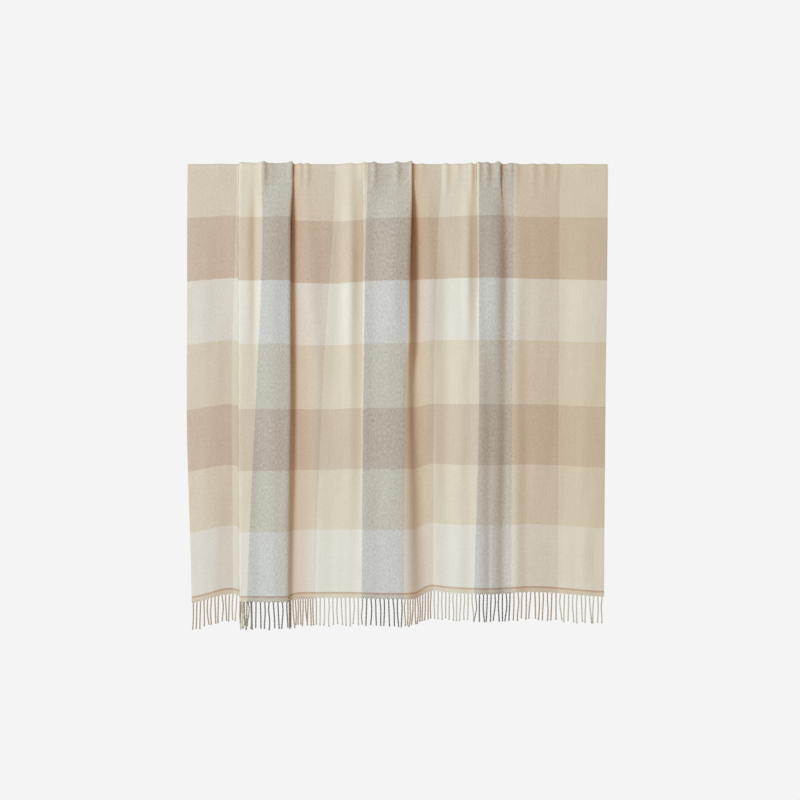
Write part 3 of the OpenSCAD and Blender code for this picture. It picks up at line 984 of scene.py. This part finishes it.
def hang_throw():
    wool = checked_wool()
    line_wool = weft_band("contrast_line", LINE_WEFT, LINE_WEFT, LINE_SHARE)
    header_wool = weft_band("header_band", LINE_WEFT, HEADER_WEFT, HEADER_SHARE)
    yarn = tassel_yarn_and_shade()
    front, front_places = drop_grid(-1, FRONT_HEM)
    back, back_places = drop_grid(1, BACK_HEM)
    drops = [LINE_H * share for share in (0.5, 1)]
    drops += [LINE_H + HEADER_H * share for share in (0.35, 0.7, 1)]
    front_tail, front_tail_places = tail_grid(front, front_places, drops)
    back_tail, back_tail_places = tail_grid(back, back_places, drops)
    points = np.concatenate([front_tail[::-1], front[::-1], back[1:], back_tail])
    places = [front_tail_places[::-1], front_places[::-1], back_places[1:], back_tail_places]
    places = np.concatenate(places)
    out = outward(points)
    tail, crest = len(drops), len(drops) + len(front) - 1
    last = len(points) - 1

    def cut(name, first, end, material, round_rows=()):
        thick = edge_thickness(end - first + 1, points.shape[1], round_rows)
        part = slice(first, end + 1)
        return cloth_shell(name, points[part], out[part], thick, places[part], material)

    made = {}
    for prefix, start, end, header, body in (
        ("front", tail, crest, points[0], "front_drop"),
        ("back", crest, last - tail, points[-1], "back_drop"),
    ):
        side = -1 if prefix == "front" else 1
        sheet = cut(f"{prefix}_sheet", start, end, wool)
        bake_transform(sheet)
        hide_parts(f"{prefix}_cloth", *(["over_rail_cloth"] if side < 0 else []))
        made[prefix] = sheet
        if side < 0:
            line = cut("front_line", tail - 2, tail, line_wool)
            band = cut("front_header", 0, tail - 2, header_wool, [0])
        else:
            line = cut("back_line", last - tail, last - tail + 2, line_wool)
            band = cut("back_header", last - tail + 2, last, header_wool, [-1])
        for piece, name in ((line, "contrast_line"), (band, "header_band")):
            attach(piece, body)
            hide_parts(f"{prefix}_{name}")
        tassels = fringe(prefix, header, yarn, FRINGE_SEED + side)
        made[prefix + "_trim"] = [line, band, *tassels]
        in_front = float(np.mean(CREST_W))
        made[prefix + "_length"] = in_front if side < 0 else WOVEN_LEN - in_front
    return made


def sew_label():
    satin, thread = label_tape(), sewing_thread()
    tab = tape("care_label_tab_tape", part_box("care_label_tab"), TAB_ROWS, 0.0, satin)
    low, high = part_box("care_label")
    flap_box = (low, (high[0], high[1], high[2] - LABEL_GAP))
    flap = tape("care_label_tape", flap_box, FLAP_ROWS, FLAP_BULGE, satin)
    stitches = stitch_row("care_label_stitching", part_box("label_stitches"), thread)
    for piece, node, body, slot in (
        (tab, "care_label_tab", "front_drop", "label_tape"),
        (flap, "care_label", "care_label_flap", "label_tape"),
        (stitches, "label_stitches", "front_drop", "thread"),
    ):
        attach(piece, body)
        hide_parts(node)
    return tab, flap, stitches


# ---- Floor, light and camera ----

BACKDROP = rgb(244, 244, 244)
# Warm light from all round and cool light from the lamps make white on the flat cloth, and leave the
# folds brown
FILL_COLOUR = (1.0, 0.85, 0.68, 1)
LAMP_COLOUR = (0.735, 0.87, 1.0)
CAMERA_AT = (5.7 * MM, -8.0, -586.6 * MM)
LENS = 141.2
SENSOR = 36
FLOOR_Z, FLOOR_R, FLOOR_SIDES = -1.9, 1.2, 96
FILL = 0.53
LAMP_AIM = (0, 0, -0.5)
LAMP_SIZE = (2.2, 2.6)
# Name, place and watts of each lamp
LAMPS = (("key", (-4.5, -5.2, 2.1), 455), ("rear", (4.4, 7.0, 2.0), 700))


def pale_floor():
    nodes = Wiring("pale_floor")
    spot = nodes.node("ShaderNodeTexCoord").outputs["Object"]
    grain = nodes.noise(spot, 0.05, 0.05, detail=3.0)
    nodes.put(nodes.shader.inputs["Base Color"], nodes.mix(grain, rgb(236, 236, 236), rgb(242, 242, 242)))
    nodes.shader.inputs["Roughness"].default_value = 0.8
    turns = [2 * math.pi * i / FLOOR_SIDES for i in range(FLOOR_SIDES)]
    ring = [(FLOOR_R * math.cos(turn), FLOOR_R * math.sin(turn), FLOOR_Z) for turn in turns]
    mesh = bpy.data.meshes.new("floor")
    mesh.from_pydata(ring, [], [tuple(range(FLOOR_SIDES))])
    mesh.materials.append(nodes.material)
    floor = bpy.data.objects.new("floor", mesh)
    bpy.context.scene.collection.objects.link(floor)


def soft_world():
    """A pale backdrop, which lights the cloth less than it looks."""
    world = bpy.data.worlds.new("studio")
    bpy.context.scene.world = world
    world.use_nodes = True
    tree = world.node_tree
    tree.nodes.clear()
    out = tree.nodes.new("ShaderNodeOutputWorld")
    mix = tree.nodes.new("ShaderNodeMixShader")
    path = tree.nodes.new("ShaderNodeLightPath")
    seen, light = tree.nodes.new("ShaderNodeBackground"), tree.nodes.new("ShaderNodeBackground")
    seen.inputs["Color"].default_value = BACKDROP
    light.inputs["Color"].default_value = FILL_COLOUR
    light.inputs["Strength"].default_value = FILL
    tree.links.new(path.outputs["Is Camera Ray"], mix.inputs[0])
    tree.links.new(light.outputs[0], mix.inputs[1])
    tree.links.new(seen.outputs[0], mix.inputs[2])
    tree.links.new(mix.outputs[0], out.inputs[0])


def soft_box(name, at, watts):
    lamp = bpy.data.lights.new(name, "AREA")
    lamp.shape = "RECTANGLE"
    lamp.size, lamp.size_y = LAMP_SIZE
    lamp.energy = watts
    lamp.color = LAMP_COLOUR
    obj = bpy.data.objects.new(name, lamp)
    obj.location = at
    obj.rotation_mode = "QUATERNION"
    obj.rotation_quaternion = (Vector(LAMP_AIM) - Vector(at)).to_track_quat("-Z", "Y")
    bpy.context.scene.collection.objects.link(obj)


def studio():
    pale_floor()
    soft_world()
    for name, at, watts in LAMPS:
        soft_box(name, at, watts)
    camera = bpy.data.cameras.new("camera")
    camera.lens = LENS
    camera.sensor_width = SENSOR
    obj = bpy.data.objects.new("camera", camera)
    obj.location = CAMERA_AT
    obj.rotation_euler = (math.pi / 2, 0, 0)
    bpy.context.scene.collection.objects.link(obj)
    bpy.context.scene.camera = obj
    bpy.context.scene.view_settings.view_transform = "Standard"


throw = hang_throw()
label = sew_label()
studio()
